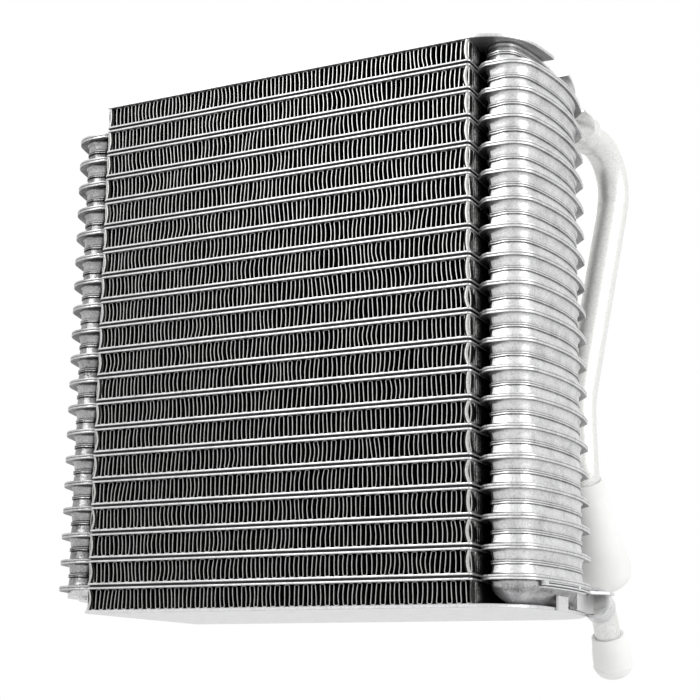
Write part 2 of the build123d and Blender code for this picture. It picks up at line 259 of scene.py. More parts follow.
def round_end(tip, half_depth, corner, crown):
    """Corner arc that is tangent to the front edge and to the crowned tip, with the crown's centre."""
    centre = tip - crown
    corner_y = corner - half_depth
    corner_x = centre + math.sqrt((crown - corner) ** 2 - corner_y**2)
    meet = math.atan2(corner_y, corner_x - centre)
    return arc((corner_x, corner_y), corner, -math.pi / 2, meet, CORNER_POINTS), centre, meet


def flange_curve(inset, cut_inset=None):
    """Round end of a flange from front to rear, moved in by inset, its rear corner cut straight.

    The cut starts on the crown CUT_DEPTH ahead of the rear edge and runs along the slope of its two sizes.
    """
    cut_inset = inset if cut_inset is None else cut_inset
    corner, centre, meet = round_end(
        FLANGE_TIP - inset, FLANGE_HALF_DEPTH - inset, FLANGE_CORNER - inset, FLANGE_CROWN - inset
    )
    slope = math.atan2(CUT_WIDTH, CUT_DEPTH)
    start = math.asin((FLANGE_HALF_DEPTH - CUT_DEPTH) / FLANGE_CROWN)
    distance = FLANGE_CROWN * math.cos(start - slope) - cut_inset
    last = slope - math.acos(distance / (FLANGE_CROWN - inset))
    crown = arc((centre, 0.0), FLANGE_CROWN - inset, meet, last, CROWN_POINTS)[1:]
    rear = FLANGE_HALF_DEPTH - inset
    foot = np.array([centre + (distance - math.sin(slope) * rear) / math.cos(slope), rear])
    step = np.linspace(0, 1, CUT_POINTS + 1)[1:, None]
    return np.concatenate([corner, crown, crown[-1] + (foot - crown[-1]) * step])


def softened(line, times):
    """Open outline with its inner points moved to the mean of their neighbours, to round a corner."""
    line = line.copy()
    for _ in range(times):
        line[1:-1] = (line[:-2] + 2 * line[1:-1] + line[2:]) / 4
    return line


def flange_outline(inset):
    """Plan of a flange plate at the right end: narrowed beside the core, then the round end."""
    curve = flange_curve(inset)
    cut = softened(curve[-CUT_POINTS - 1 : -1], 1)[1:]
    front = np.concatenate([THROAT + (0, inset), [(THROAT_END, inset - FLANGE_HALF_DEPTH)]])
    return np.concatenate([front, curve[:-CUT_POINTS], cut, curve[-1:], front[::-1] * (1, -1)])


def core_outline(inset):
    """Plan of the part of a plate between the fins, with small round corners."""
    parts = []
    for quarter, (x, y) in enumerate(((1, -1), (1, 1), (-1, 1), (-1, -1))):
        start = math.pi / 2 * (quarter - 1)
        centre = (x * (HALF_WIDTH - CORE_CORNER), y * (HALF_DEPTH - CORE_CORNER))
        radius = max(CORE_CORNER - inset, LEAST_CORNER)
        parts.append(arc(centre, radius, start, start + math.pi / 2, 5))
        parts[-1] -= np.array([x, y]) * max(inset - CORE_CORNER + LEAST_CORNER, 0.0)
    return np.concatenate(parts)


def outward(points, faces):
    """Turns a closed shell's faces round where its signed volume is negative."""
    volume = 0.0
    for size in {len(face) for face in faces}:
        block = np.array([face for face in faces if len(face) == size])
        for k in range(1, size - 1):
            a, b, c = points[block[:, 0]], points[block[:, k]], points[block[:, k + 1]]
            volume += np.einsum("ij,ij->", a, np.cross(b, c))
    return faces if volume > 0 else [face[::-1] for face in faces]


def ring_quads(rows, columns):
    """Numbers of the points in rows of rings, and the quads between each ring and the next."""
    index = np.arange(rows * columns).reshape(rows, columns)
    beside = np.roll(index, -1, axis=1)
    return index, np.stack([index[:-1], beside[:-1], beside[1:], index[1:]], axis=-1).reshape(-1, 4)


def rings(points, painted_shade=0.0):
    """Closed shell through rows of ring points, with a face over the first and last ring.

    The last argument is the shade painted on its points, from 0 for lit metal to 1 for a corner in deep shade.
    """
    rows, columns = points.shape[:2]
    index, quads = ring_quads(rows, columns)
    faces = quads.tolist() + [index[0][::-1].tolist(), index[-1].tolist()]
    flat = points.reshape(-1, 3)
    shade = np.broadcast_to(painted_shade, (rows, columns)).ravel()
    return flat, outward(flat, faces), shade


def levels(outlines, heights):
    """Rows of ring points: one plan outline at each height."""
    count = len(outlines[0])
    return np.stack(
        [np.column_stack([line, np.full(count, height)]) for line, height in zip(outlines, heights)]
    )


def piece(name, shells, material, node, angle=35.0):
    """One object from closed shells in millimetres that stands for a node of the frame."""
    points, faces, shade, offset = [], [], [], 0
    for shell_points, shell_faces, shell_shade in shells:
        points.append(shell_points)
        shade.append(shell_shade)
        faces += [[k + offset for k in face] for face in shell_faces]
        offset += len(shell_points)
    mesh = bpy.data.meshes.new(name)
    mesh.from_pydata((np.concatenate(points) * MM).tolist(), [], faces)
    # The point attribute holds the shade painted on each point.
    attribute = mesh.attributes.new("painted_shade", "FLOAT", "POINT")
    attribute.data.foreach_set("value", np.concatenate(shade).astype(np.float32))
    mesh.polygons.foreach_set("use_smooth", np.ones(len(faces), bool))
    mesh.set_sharp_from_angle(angle=math.radians(angle))
    mesh.materials.append(material)
    made = bpy.data.objects.new(name, mesh)
    bpy.context.scene.collection.objects.link(made)
    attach(made, "root")
    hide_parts(node)


plate_metal = sheet_metal(
    "plate_metal",
    colour=(0.77, 0.77, 0.775),
    shade=(0.03, 0.03, 0.032),
    patch=0.22,
    rough=0.32,
    metallic=0.88,
    bump=0.00012,
)

# Profiles of the rims between the fins and of the flange's edge, from the middle of a face to the
# groove between the two plates: how far in from the outline, how high over the groove, and how much
# shade is painted there.
RIM_INSET = np.array([8.0, 3.0, 0.4, 0.1, 0.0, 0.0, 0.08, 0.3, 0.85, 0.95])
RIM_HEIGHT = np.array([1.35, 1.35, 1.35, 1.28, 1.1, 0.7, 0.56, 0.46, 0.4, 0.0])
RIM_PAINTED_SHADE = np.array([1.0, 0.9, 0.15, 0.0, 0.0, 0.0, 0.1, 0.6, 1.0, 1.0])
EDGE_INSET = np.array([9.0, 2.4, 1.3, 0.32, 0.2, 0.03, 0.0, 0.0, 0.06, 0.16, 0.2])
EDGE_HEIGHT = np.array([1.0, 1.0, 1.0, 1.0, 1.0, 0.88, 0.7, 0.3, 0.16, 0.08, 0.0])
EDGE_PAINTED_SHADE = np.array([0.7, 0.56, 0.48, 0.5, 0.08, 0.0, 0.0, 0.0, 0.15, 0.45, 0.5])
# Painted shade added all over the flanges of the left tank.
LEFT_FLANGE_SHADE = 0.25


def edge_profile(outline, inset, height, painted_shade):
    """Closed slab about z = 0: a profile and its mirror image carried round a plan outline."""
    inset = np.concatenate([inset, inset[-2::-1]])
    height = np.concatenate([height, -height[-2::-1]])
    shade = np.concatenate([painted_shade, painted_shade[-2::-1]])
    return rings(levels([outline(value) for value in inset], height), shade[:, None])


def plate_pair():
    """Shells of two plates rim to rim: the grooved part between the fins and a thin flange at each end."""
    middle = edge_profile(core_outline, RIM_INSET, RIM_HEIGHT, RIM_PAINTED_SHADE)
    points, faces, shade = edge_profile(flange_outline, EDGE_INSET, EDGE_HEIGHT, EDGE_PAINTED_SHADE)
    # The left flange is the right one mirrored, with more painted shade.
    left = points * (-1, 1, 1), [face[::-1] for face in faces], np.minimum(shade + LEFT_FLANGE_SHADE, 1.0)
    return [middle, (points, faces, shade), left]


CUP_MARGIN = 1.9
CUP_CUT_MARGIN = 3.2
CUP_INNER = HALF_WIDTH + 3.4
CUP_SOFTENING = 6
CUP_TURN_DEPTH = 6.0
CUP_TURN = np.array([(2.2, 4.6), (0.7, 2.6), (0.0, 0.0)])


def cup_outline(inset):
    """Plan of a tank cup: round outside with an eased rear corner, nearly straight towards the core."""
    curve = softened(flange_curve(CUP_MARGIN + inset, CUP_CUT_MARGIN + inset), CUP_SOFTENING)
    turn = CUP_TURN + (CUP_INNER + inset, curve[-1, 1] - CUP_TURN_DEPTH)
    return np.concatenate([curve, turn, turn[::-1] * (1, -1)])


# Profile of a cup's wall from its root on the flange to its seam lip, with the shade painted at its root and
# about the lip. The cups of the left tank are drawn in and carry more painted shade, and the top one on the right
# is drawn in and set back towards the core.
CUP_INSET = np.array([3.0, -0.8, -0.62, -0.3, -0.1, 0.03, 0.2, 0.36, 0.42, 0.1, -0.1, -0.2, -0.2, -0.1, 0.5])
CUP_DROP = np.array([-0.2, -0.1, 0.1, 0.3, 0.55, 1.0, 2.4, 3.5, 3.75, 3.98, 4.02, 4.12, 4.5, 4.66, 4.7])
CUP_PAINTED_SHADE = np.array([0.6, 0.5, 0.1, 0.0, 0.0, 0.0, 0.0, 0.08, 0.45, 0.6, 0.2, 0.0, 0.0, 0.25, 0.9])
UP, DOWN = 1, -1
RIGHT, LEFT = 1, -1
LEFT_CUP_SHADE = {UP: 0.55, DOWN: 0.35}
LEFT_CUP_NARROW = 1.8
TOP_CUP_NARROW = 2.0
TOP_CUP_BACK = 3.0


def cup(base, direction, side, narrow=0.0, back=0.0):
    """Cup wall from a flange at height base to its seam lip, drawn in by narrow and set back."""
    outlines = [cup_outline(value + narrow) for value in CUP_INSET]
    points, faces, shade = rings(levels(outlines, direction * CUP_DROP), CUP_PAINTED_SHADE[:, None])
    points = points * (side, 1, 1) + (-back, 0, base)
    # The cups of the left tank get more painted shade.
    if side == LEFT:
        shade = np.minimum(shade + LEFT_CUP_SHADE[direction], 1.0)
    return points, outward(points, faces), shade


def tube_bottom(number):
    """Height of the underside of a tube; tube 1 is the top one."""
    return PLATE_THICKNESS + FIN_HEIGHT + (TUBE_COUNT - number) * PITCH


def raised(shell, height):
    """The same shell moved up."""
    points, faces, shade = shell
    return points + (0, 0, height), faces, shade


pair = plate_pair()
for number in range(1, TUBE_COUNT + 1):
    middle = tube_bottom(number) + TUBE_THICKNESS / 2
    top, bottom = middle + FLANGE_THICKNESS / 2, middle - FLANGE_THICKNESS / 2
    shells = [raised(shell, middle) for shell in pair]
    if number == 1:
        shells.append(cup(top, UP, RIGHT, TOP_CUP_NARROW, TOP_CUP_BACK))
    else:
        shells += [cup(top, UP, RIGHT), cup(top, UP, LEFT, LEFT_CUP_NARROW)]
    if number < TUBE_COUNT:
        shells += [cup(bottom, DOWN, RIGHT), cup(bottom, DOWN, LEFT, LEFT_CUP_NARROW)]
    piece(f"plate_pair_{number:02d}", shells, plate_metal, f"tube_{number:02d}")

# FINS
# Each row holds one strip of thin aluminium folded into 89 nearly upright legs, brazed to the tubes
# at their rounded folds. The legs are a little bent from handling, and the end leaves show louvres.
LEGS = 89
LEG_POINTS = 6
FIN_SPAN = 175.8
STRIP = 0.30
FOLD_STEPS = 5
FOLD_RADIUS = 0.8
PLACE_REACH, PLACE_WANDER, PLACE_JITTER = 5, 0.25, 0.07
LEAN_REACH, LEAN_WANDER, LEAN_JITTER = 4, 0.16, 0.05
BOW_REACH, BOW_WANDER, BOW_JITTER = 4, 0.2, 0.05
UNDER_TUBE_DROP = 1.2
UNDER_TUBE_FADE = 0.7
UNDER_TUBE_SHADE = 0.5
fin_metal = sheet_metal(
    "fin_metal",
    colour=(0.54, 0.54, 0.53),
    shade=(0.008, 0.008, 0.008),
    patch=0.05,
    rough=0.36,
    metallic=0.8,
    bump=0.00004,
)
chance = np.random.default_rng(19)
# Depths of the strip's points and the shade painted on them, light at the faces and dark deeper in between the
# legs.
DEPTHS = np.array([-44.0, -43.85, -43.4, -42.6, -40.0, 0.0, 40.0, 42.6, 43.4, 43.85, 44.0])
DEPTH_PAINTED_SHADE = np.array([0.0, 0.1, 0.72, 0.95, 1.0, 1.0, 1.0, 0.95, 0.72, 0.1, 0.0])


def wandering(reach, amount):
    """Random offsets for the legs that neighbours nearly share: white noise averaged over a reach."""
    noise = chance.normal(0, 1, LEGS + 2 * reach)
    window = np.hanning(2 * reach + 3)[1:-1]
    smooth = np.convolve(noise, window / np.sqrt((window**2).sum()), mode="valid")
    return amount * smooth[:LEGS]


def fold_line(bottom):
    """Centre line of a folded strip: bowed, leaning legs joined by squarish folds.

    A leg's x is its place plus a lean that is linear in height and a bow sin(pi t). A fold is a half
    circle with its cosine raised to 0.6 and its sine to 0.7, which squares it off.
    """
    pitch = FIN_SPAN / (LEGS - 1)
    place = -FIN_SPAN / 2 + pitch * np.arange(LEGS)
    place[1:-1] += wandering(PLACE_REACH, PLACE_WANDER)[1:-1] + chance.normal(0, PLACE_JITTER, LEGS - 2)
    lean = wandering(LEAN_REACH, LEAN_WANDER) + chance.normal(0, LEAN_JITTER, LEGS)
    bow = wandering(BOW_REACH, BOW_WANDER) + chance.normal(0, BOW_JITTER, LEGS)
    low = bottom + STRIP / 2
    high = bottom + FIN_HEIGHT - STRIP / 2
    rise = np.linspace(0, 1, LEG_POINTS)[None, :]
    rise = np.where(np.arange(LEGS)[:, None] % 2 == 0, rise, 1 - rise)
    leg_x = place[:, None] + lean[:, None] * (rise - 0.5) * 2 + bow[:, None] * np.sin(math.pi * rise)
    leg_z = low + FOLD_RADIUS + (high - low - 2 * FOLD_RADIUS) * rise
    turn = np.linspace(0, math.pi, FOLD_STEPS + 2)[1:-1][None, :]
    start, end = leg_x[:-1, -1:], leg_x[1:, :1]
    across = np.sign(np.cos(turn)) * np.abs(np.cos(turn)) ** 0.6
    fold_x = (start + end) / 2 - across * (end - start) / 2
    way = np.where(np.arange(LEGS - 1)[:, None] % 2 == 0, 1.0, -1.0)
    fold_z = leg_z[:-1, -1:] + way * np.sin(turn) ** 0.7 * FOLD_RADIUS
    x = np.concatenate([np.concatenate([leg_x[:-1], fold_x], axis=1).ravel(), leg_x[-1]])
    z = np.concatenate([np.concatenate([leg_z[:-1], fold_z], axis=1).ravel(), leg_z[-1]])
    return np.stack([x, z], axis=-1)


def folded_strip(bottom):
    """Solid strip: the centre line moved half the strip to each side and drawn from front to rear."""
    line = fold_line(bottom)
    along = np.gradient(line, axis=0)
    along /= np.linalg.norm(along, axis=1)[:, None]
    across = np.stack([-along[:, 1], along[:, 0]], axis=-1) * STRIP / 2
    loop = np.concatenate([line + across, (line - across)[::-1]])
    rows, columns = len(DEPTHS), len(loop)
    points = np.stack(np.broadcast_arrays(loop[None, :, 0], DEPTHS[:, None], loop[None, :, 1]), axis=-1)
    index, quads = ring_quads(rows, columns)
    near = np.arange(len(line) - 1)
    far = columns - 1 - near
    ends = []
    for row, flip in ((0, False), (rows - 1, True)):
        cap = np.stack([index[row, near], index[row, far], index[row, far - 1], index[row, near + 1]], axis=-1)
        ends.append(cap[:, ::-1] if flip else cap)
    faces = np.concatenate([quads, *ends]).tolist()
    flat = points.reshape(-1, 3)
    # Painted shade: from the depth table, and along the top of the legs just under the tube above.
    below_top = bottom + FIN_HEIGHT - loop[:, 1]
    under_tube = UNDER_TUBE_SHADE * np.clip((UNDER_TUBE_DROP - below_top) / UNDER_TUBE_FADE, 0, 1)
    shade = np.minimum(DEPTH_PAINTED_SHADE[:, None] + under_tube[None, :], 1.0).ravel()
    return flat, outward(flat, faces), shade


# End leaf, in depth: the front margin with how far it curls in and the shade painted on it, then louvres,
# with painted shade in their slots, that end before the rear. In height: the rows of the sheet, of which
# LOUVRE_ROWS are cut into louvres.
# True is for a bright leaf, False for the dull one in the shadow of the tank at the lower right.
MARGIN_END = -40.6
MARGIN = np.array([-44.3, -44.55, -44.5, -44.2, -43.5, -43.2, -42.3, MARGIN_END])
MARGIN_CURL = {True: (-1.9, -1.3, -0.6, -0.1), False: (-0.6, -0.4, -0.2, -0.05)}
MARGIN_SHADE = {True: (0.0, 0.0, 0.0, 0.1, 0.95, 0.95, 0.4, 0.7), False: 0.75}
MARGIN_EDGE_SHADE = {True: 0.0, False: 0.6}
LOUVRE_PITCH = 1.9
LOUVRE_START = MARGIN_END + 0.25
LOUVRE_END = 40.0
LOUVRE_DEPTH = 0.32
LOUVRE_SHADES = (0.60, 0.86)
LEAF_ROWS = np.array([0.0, 0.06, 0.1, 0.3, 0.5, 0.7, 0.9, 0.94, 1.0])
LOUVRE_ROWS = np.array([0.0, 0.0, 1.0, 1.0, 1.0, 1.0, 1.0, 0.0, 0.0])
LEAF_INSET = 0.3
LEAF_THICKNESS = 0.22
LEAF_GAP = 0.06
LEAF_BOW = (0.5, 1.2)
DULL_LEAF_BOW = 0.2
BOW_END = -38.0
BOW_FADE = 6.0
SHADE_FADE = 11.0
EDGE_FADE = 5.0
EDGE_SHADE = 0.15


def end_leaf(bottom, side, bright):
    """Last leg of a strip seen from the side: a smooth front margin, bowed in height, then louvres.

    The sheet's x is a bow sin(pi t) in height t on the margin and a saw wave in depth behind it.
    """
    depth = np.concatenate([MARGIN, np.arange(LOUVRE_START, LOUVRE_END, LOUVRE_PITCH / 2)])
    even = np.arange(len(depth)) % 2 == 0
    saw = np.where(even, LOUVRE_DEPTH, -LOUVRE_DEPTH) * (depth > MARGIN_END)
    curl = np.zeros(len(depth))
    curl[:4] = MARGIN_CURL[bright]
    bow = chance.uniform(*LEAF_BOW) * np.sin(math.pi * LEAF_ROWS) * (1 if bright else DULL_LEAF_BOW)
    ahead = np.clip((BOW_END - depth) / BOW_FADE, 0, 1)
    x = HALF_WIDTH - LEAF_INSET + saw[:, None] * LOUVRE_ROWS[None, :]
    x = x - bow[None, :] * ahead[:, None] + curl[:, None]
    slot = np.where(even, *LOUVRE_SHADES)
    inner = slot + (1 - slot) * np.clip((depth - MARGIN_END) / SHADE_FADE, 0, 1) ** 0.8
    inner[: len(MARGIN)] = MARGIN_SHADE[bright]
    edge = EDGE_SHADE + (1 - EDGE_SHADE) * np.clip((depth - MARGIN_END) / EDGE_FADE, 0, 1)
    edge[: len(MARGIN)] = MARGIN_EDGE_SHADE[bright]
    shade = np.where(LOUVRE_ROWS[None, :] > 0, inner[:, None], edge[:, None])
    x = np.concatenate([x, x[:, ::-1] - LEAF_THICKNESS], axis=1)
    rows = np.concatenate([LEAF_ROWS, LEAF_ROWS[::-1]])
    height = bottom + LEAF_GAP + (FIN_HEIGHT - 2 * LEAF_GAP) * rows
    points = np.stack(np.broadcast_arrays(x * side, depth[:, None], height[None, :]), axis=-1)
    # The inner face of the leaf is all in painted shade.
    return rings(points, np.concatenate([shade, np.ones_like(shade)], axis=1))


for number in range(1, TUBE_COUNT + 2):
    bottom = PLATE_THICKNESS + (TUBE_COUNT + 1 - number) * PITCH
    shells = [folded_strip(bottom), end_leaf(bottom, 1, number <= TUBE_COUNT), end_leaf(bottom, -1, True)]
    piece(f"fin_strip_{number:02d}", shells, fin_metal, f"fin_{number:02d}")

# END PLATES
# A flat aluminium plate is brazed over the first and last fin rows. Its left end is folded along the
# row. Its right end is rounded over the tank, cut off near the bracket and, at the top, notched.
COVER_TIP = FLANGE_TIP - 2.9
COVER_CORNER = 25.0
NOTCH_FRONT = -10.0
NOTCH_REAR = 8.0
NOTCH_DEPTH = 6.5
REAR_CUT = 31.0
CROWN_STEPS = 40
LEAST_NORMAL = 0.3
# Shade painted on a plate's upper and lower edges, and the share of its underside's painted shade on the lower
# edge.
UPPER_EDGE_SHADE = 0.12
LOWER_EDGE_SHADE = 0.08
UNDERSIDE_SPREAD = 0.2


def moved_in(line, amount):
    """Closed outline moved in by the mean normal at each point, for a narrow eased edge."""
    ahead = np.roll(line, -1, axis=0) - line
    ahead /= np.linalg.norm(ahead, axis=1)[:, None]
    behind = np.roll(ahead, 1, axis=0)
    normal = np.stack([-(ahead + behind)[:, 1], (ahead + behind)[:, 0]], axis=-1)
    normal /= np.maximum(np.linalg.norm(normal, axis=1), LEAST_NORMAL)[:, None]
    return line + normal * amount


def slab(line, bottom, top, ease=0.2, underside_shade=0.0):
    """Plate on a closed outline that runs anticlockwise, its edges eased, with painted shade under it and on its
    edges.
    """
    inner = moved_in(line, ease)
    outlines = [inner, line, line, inner]
    heights = [bottom, bottom + ease, top - ease, top]
    shades = np.array([underside_shade, underside_shade * UNDERSIDE_SPREAD + LOWER_EDGE_SHADE, UPPER_EDGE_SHADE, 0.0])
    return rings(levels(outlines, heights), shades[:, None])


def cover_outline(notched):
    """Plan of an end plate with its right end cut back at the rear, and notched if asked."""
    corner, centre, meet = round_end(COVER_TIP, HALF_DEPTH, COVER_CORNER, FLANGE_CROWN)
    crown = arc((centre, 0.0), FLANGE_CROWN, meet, -meet, CROWN_STEPS)[1:-1]
    curve = np.concatenate([corner, crown, corner[::-1] * (1, -1)])
    inner = COVER_TIP - NOTCH_DEPTH
    last = curve[(curve[:, 1] > REAR_CUT) & (curve[:, 0] < inner)]
    curve = curve[curve[:, 1] < REAR_CUT]
    if notched:
        front = curve[curve[:, 1] < NOTCH_FRONT]
        rear = curve[curve[:, 1] > NOTCH_REAR]
        notch = [(front[-1, 0], NOTCH_FRONT), (inner, NOTCH_FRONT), (inner, NOTCH_REAR), (rear[0, 0], NOTCH_REAR)]
        curve = np.concatenate([front, notch, rear])
    first, final = [(-HALF_WIDTH, -HALF_DEPTH)], [(-HALF_WIDTH, HALF_DEPTH)]
    return np.concatenate([first, curve, [(inner, REAR_CUT)], last, final])


end_metal = sheet_metal(
    "end_metal",
    colour=(0.80, 0.80, 0.81),
    shade=(0.16, 0.16, 0.16),
    patch=0.08,
    rough=0.32,
    metallic=0.85,
    bump=0.00005,
)
SIDE_FOLD_HALF_DEPTH = 44.0
SIDE_FOLD_THICKNESS = 0.5
SIDE_FOLD_BOW = 0.45


def side_fold(bottom):
    """Left edge of an end plate folded along its fin row and pressed in by a sin squared bow."""
    y = np.linspace(-SIDE_FOLD_HALF_DEPTH, SIDE_FOLD_HALF_DEPTH, 5)
    rise = np.linspace(0, 1, 9)
    outer = -HALF_WIDTH + SIDE_FOLD_BOW * np.sin(math.pi * rise) ** 2
    x = np.concatenate([outer, outer[::-1] + SIDE_FOLD_THICKNESS])
    z = bottom + np.concatenate([rise, rise[::-1]]) * FIN_HEIGHT
    return rings(np.stack(np.broadcast_arrays(x[None, :], y[:, None], z[None, :]), axis=-1))


top_height = TOP_ROW + FIN_HEIGHT
piece(
    "top_cover",
    [
        slab(cover_outline(True), top_height, top_height + PLATE_THICKNESS, ease=0.25, underside_shade=0.5),
        side_fold(TOP_ROW),
    ],
    end_metal,
    "top_end_plate",
)
# A small tab stands up from the bottom plate beside the bowl, just ahead of the inlet duct.
COVER_TAB = np.array([(112.2, -17.0), (113.1, -17.0), (113.5, -6.0), (112.6, -6.0)])
COVER_TAB_TOP = 5.9
piece(
    "bottom_cover",
    [
        slab(cover_outline(False), 0.0, PLATE_THICKNESS, ease=0.3),
        slab(COVER_TAB, 0.1, COVER_TAB_TOP, ease=0.15),
        side_fold(PLATE_THICKNESS),
    ],
    end_metal,
    "bottom_end_plate",
)

# TANK ENDS
# Stamped aluminium pieces brazed on by their rims close the tanks: a last cup below the top plate and,
# under the lowest tube, a deep bowl at the right and a blank with a shallow step at the left.
# Each profile runs from the seam or the flange to its far end, with the shade painted along it.
SEAM = FIN_HEIGHT / 2
TOP_CUP_INSET = np.array([0.5, -0.1, -0.2, -0.2, -0.1, 0.2, 0.6, 0.7, 0.9, 0.4, 0.4, 0.7, 1.4])
TOP_CUP_RISE = np.array([0.06, 0.08, 0.2, 0.6, 0.7, 0.78, 1.0, 1.7, 2.6, 2.9, 3.9, 4.3, 4.68])
TOP_CUP_PAINTED_SHADE = np.array([1.0, 0.3, 0.0, 0.0, 0.2, 0.6, 0.3, 0.1, 0.45, 0.1, 0.0, 0.2, 0.9])
outlines = [cup_outline(value + TOP_CUP_NARROW) - (TOP_CUP_BACK, 0.0) for value in TOP_CUP_INSET]
piece(
    "top_cup",
    [rings(levels(outlines, TOP_ROW + SEAM + TOP_CUP_RISE), TOP_CUP_PAINTED_SHADE[:, None])],
    plate_metal,
    "top_end_cup",
)

BOWL_INSET = np.array([3.0, -0.5, -0.2, 0.0, 0.05, 0.3, 1.2, 2.4, 3.9, 5.2, 6.2, 7.4])
BOWL_DROP = np.array([-0.1, 0.0, 0.3, 0.8, 2.2, 3.6, 5.2, 6.6, 7.8, 8.6, 9.0, 9.1])
BOWL_PAINTED_SHADE = np.array([1.0, 0.9, 0.5, 0.2, 0.35, 0.5, 0.3, 0.05, 0.0, 0.3, 0.6, 1.0])
lowest = tube_bottom(TUBE_COUNT) + FLANGE_RECESS
piece(
    "tank_bowl",
    [rings(levels([cup_outline(value) for value in BOWL_INSET], lowest - BOWL_DROP), BOWL_PAINTED_SHADE[:, None])],
    plate_metal,
    "bottom_end_cup",
)

BLANK_INNER = HALF_WIDTH + 1.0
BLANK_THICKNESS = 2.4
BLANK_STEP_INSET = (0.9, 0.95, 1.2, 3.0)
BLANK_STEP_DROP = np.array([2.3, 3.2, 3.6, 3.7])
blank_inner_edge = [(BLANK_INNER, FLANGE_HALF_DEPTH), (BLANK_INNER, -FLANGE_HALF_DEPTH)]
blank_line = np.concatenate([flange_curve(0.1), blank_inner_edge])
blank_step = [-cup_outline(value) for value in BLANK_STEP_INSET]
piece(
    "tank_blank",
    [
        slab(-blank_line, lowest - BLANK_THICKNESS, lowest, ease=0.25),
        rings(levels(blank_step, lowest - BLANK_STEP_DROP)),
    ],
    plate_metal,
    "left_end_cap",
)

# OUTLET COLLAR AND BRACKET
# Behind the two top flanges a round aluminium collar with a bead is brazed on for the suction pipe,
# and a flat sheet tab on the top flange reaches back over it.
COLLAR_RADIUS = 7.4
COLLAR_RISE = 1.3
OUTLET_X = FLANGE_TIP - 5.8
OUTLET_Z = TOP_ROW - FLANGE_RECESS + COLLAR_RISE - COLLAR_RADIUS
COLLAR_REAR = HALF_DEPTH + 1.0
SPARE_DIRECTION = (0.31, 0.17, 0.93)


def round_sections(centres, directions, radii, count=48):
    """Rings of points about a line of centres, square to its directions.

    A point is its centre + radius (cos a times one normal + sin a times the other). The first normal is
    square to SPARE_DIRECTION, along which no pipe runs.
    """
    directions = directions / np.linalg.norm(directions, axis=1)[:, None]
    side = np.cross(directions, SPARE_DIRECTION)
    side /= np.linalg.norm(side, axis=1)[:, None]
    other = np.cross(directions, side)
    angle = np.linspace(0, 2 * math.pi, count, endpoint=False)
    spoke = np.cos(angle)[None, :, None] * side[:, None, :] + np.sin(angle)[None, :, None] * other[:, None, :]
    return centres[:, None, :] + radii[:, None, None] * spoke


pipe_metal = sheet_metal(
    "pipe_metal",
    colour=(0.84, 0.84, 0.82),
    shade=(0.25, 0.25, 0.24),
    patch=0.05,
    rough=0.38,
    metallic=0.65,
    bump=0.00003,
)


def tube_shell(centres, directions, radii, count=48):
    """Closed round shell on a line of centres. One direction or radius holds for the whole line."""
    directions = np.broadcast_to(directions, np.shape(centres))
    radii = np.broadcast_to(radii, len(centres))
    return rings(round_sections(centres, directions, radii, count))


collar_y = np.array([30.0, 36.2, 36.7, 37.4, 38.0, 38.4, 46.2])
collar_r = np.array([7.2, 7.2, 7.5, 7.7, 7.4, 6.95, 6.9])
collar_centres = np.array([(OUTLET_X, y, OUTLET_Z) for y in collar_y])
piece(
    "pipe_collar",
    [tube_shell(collar_centres, (0.0, 1.0, 0.0), collar_r)],
    pipe_metal,
    "outlet_collar",
)
BRACKET_INNER = 92.0
BRACKET_OUTER = FLANGE_TIP - 3.7
BRACKET_FRONT = HALF_DEPTH - 17.0
BRACKET_REAR = HALF_DEPTH + 6.0
BRACKET_TOP = TOP_ROW + 2.6
# Painted shade over the whole tab, and more on its underside.
BRACKET_UNDER_SHADE = 0.75
BRACKET_LEAST_SHADE = 0.3
bracket_line = np.array(
    [
        (BRACKET_INNER, BRACKET_FRONT),
        (BRACKET_OUTER - 4.0, BRACKET_FRONT),
        (BRACKET_OUTER, BRACKET_FRONT + 3.0),
        (BRACKET_OUTER, BRACKET_REAR),
        (BRACKET_INNER, BRACKET_REAR),
    ]
)
tab_points, tab_faces, tab_shade = slab(
    bracket_line, TOP_ROW - FLANGE_RECESS, BRACKET_TOP, ease=0.4, underside_shade=BRACKET_UNDER_SHADE
)
piece(
    "bracket_tab",
    [(tab_points, tab_faces, np.maximum(tab_shade, BRACKET_LEAST_SHADE))],
    end_metal,
    "outlet_bracket",
)

# SUCTION PIPE
# Drawn aluminium tube brazed into the collar, bent back from it, down behind the tank and out to
# the rear at its open end, which the sealing cap covers.
PORT_TILT = math.radians(30.0)
PORT = np.array((0.0, math.sin(PORT_TILT), -math.cos(PORT_TILT)))
PIPE_RADIUS = 7.0
PIPE_START = (OUTLET_X, COLLAR_REAR - 0.5, OUTLET_Z)
PIPE_ELBOW = (FLANGE_TIP + 0.3, HALF_DEPTH + 29.0, OUTLET_Z)
PIPE_KNEE = (FLANGE_TIP - 14.4, HALF_DEPTH + 5.5, TOP_ROW * 0.43)
PIPE_HEEL = np.array((FLANGE_TIP - 13.6, HALF_DEPTH + 5.5, TOP_ROW * 0.286))
PIPE_TAIL = 46.2
ELBOW_RADIUS = 22.0
KNEE_RADIUS = 60.0
HEEL_RADIUS = 18.0
LONG_RUN = 6.0
RUN_STEPS = (0.03, 0.35, 0.65, 0.97)


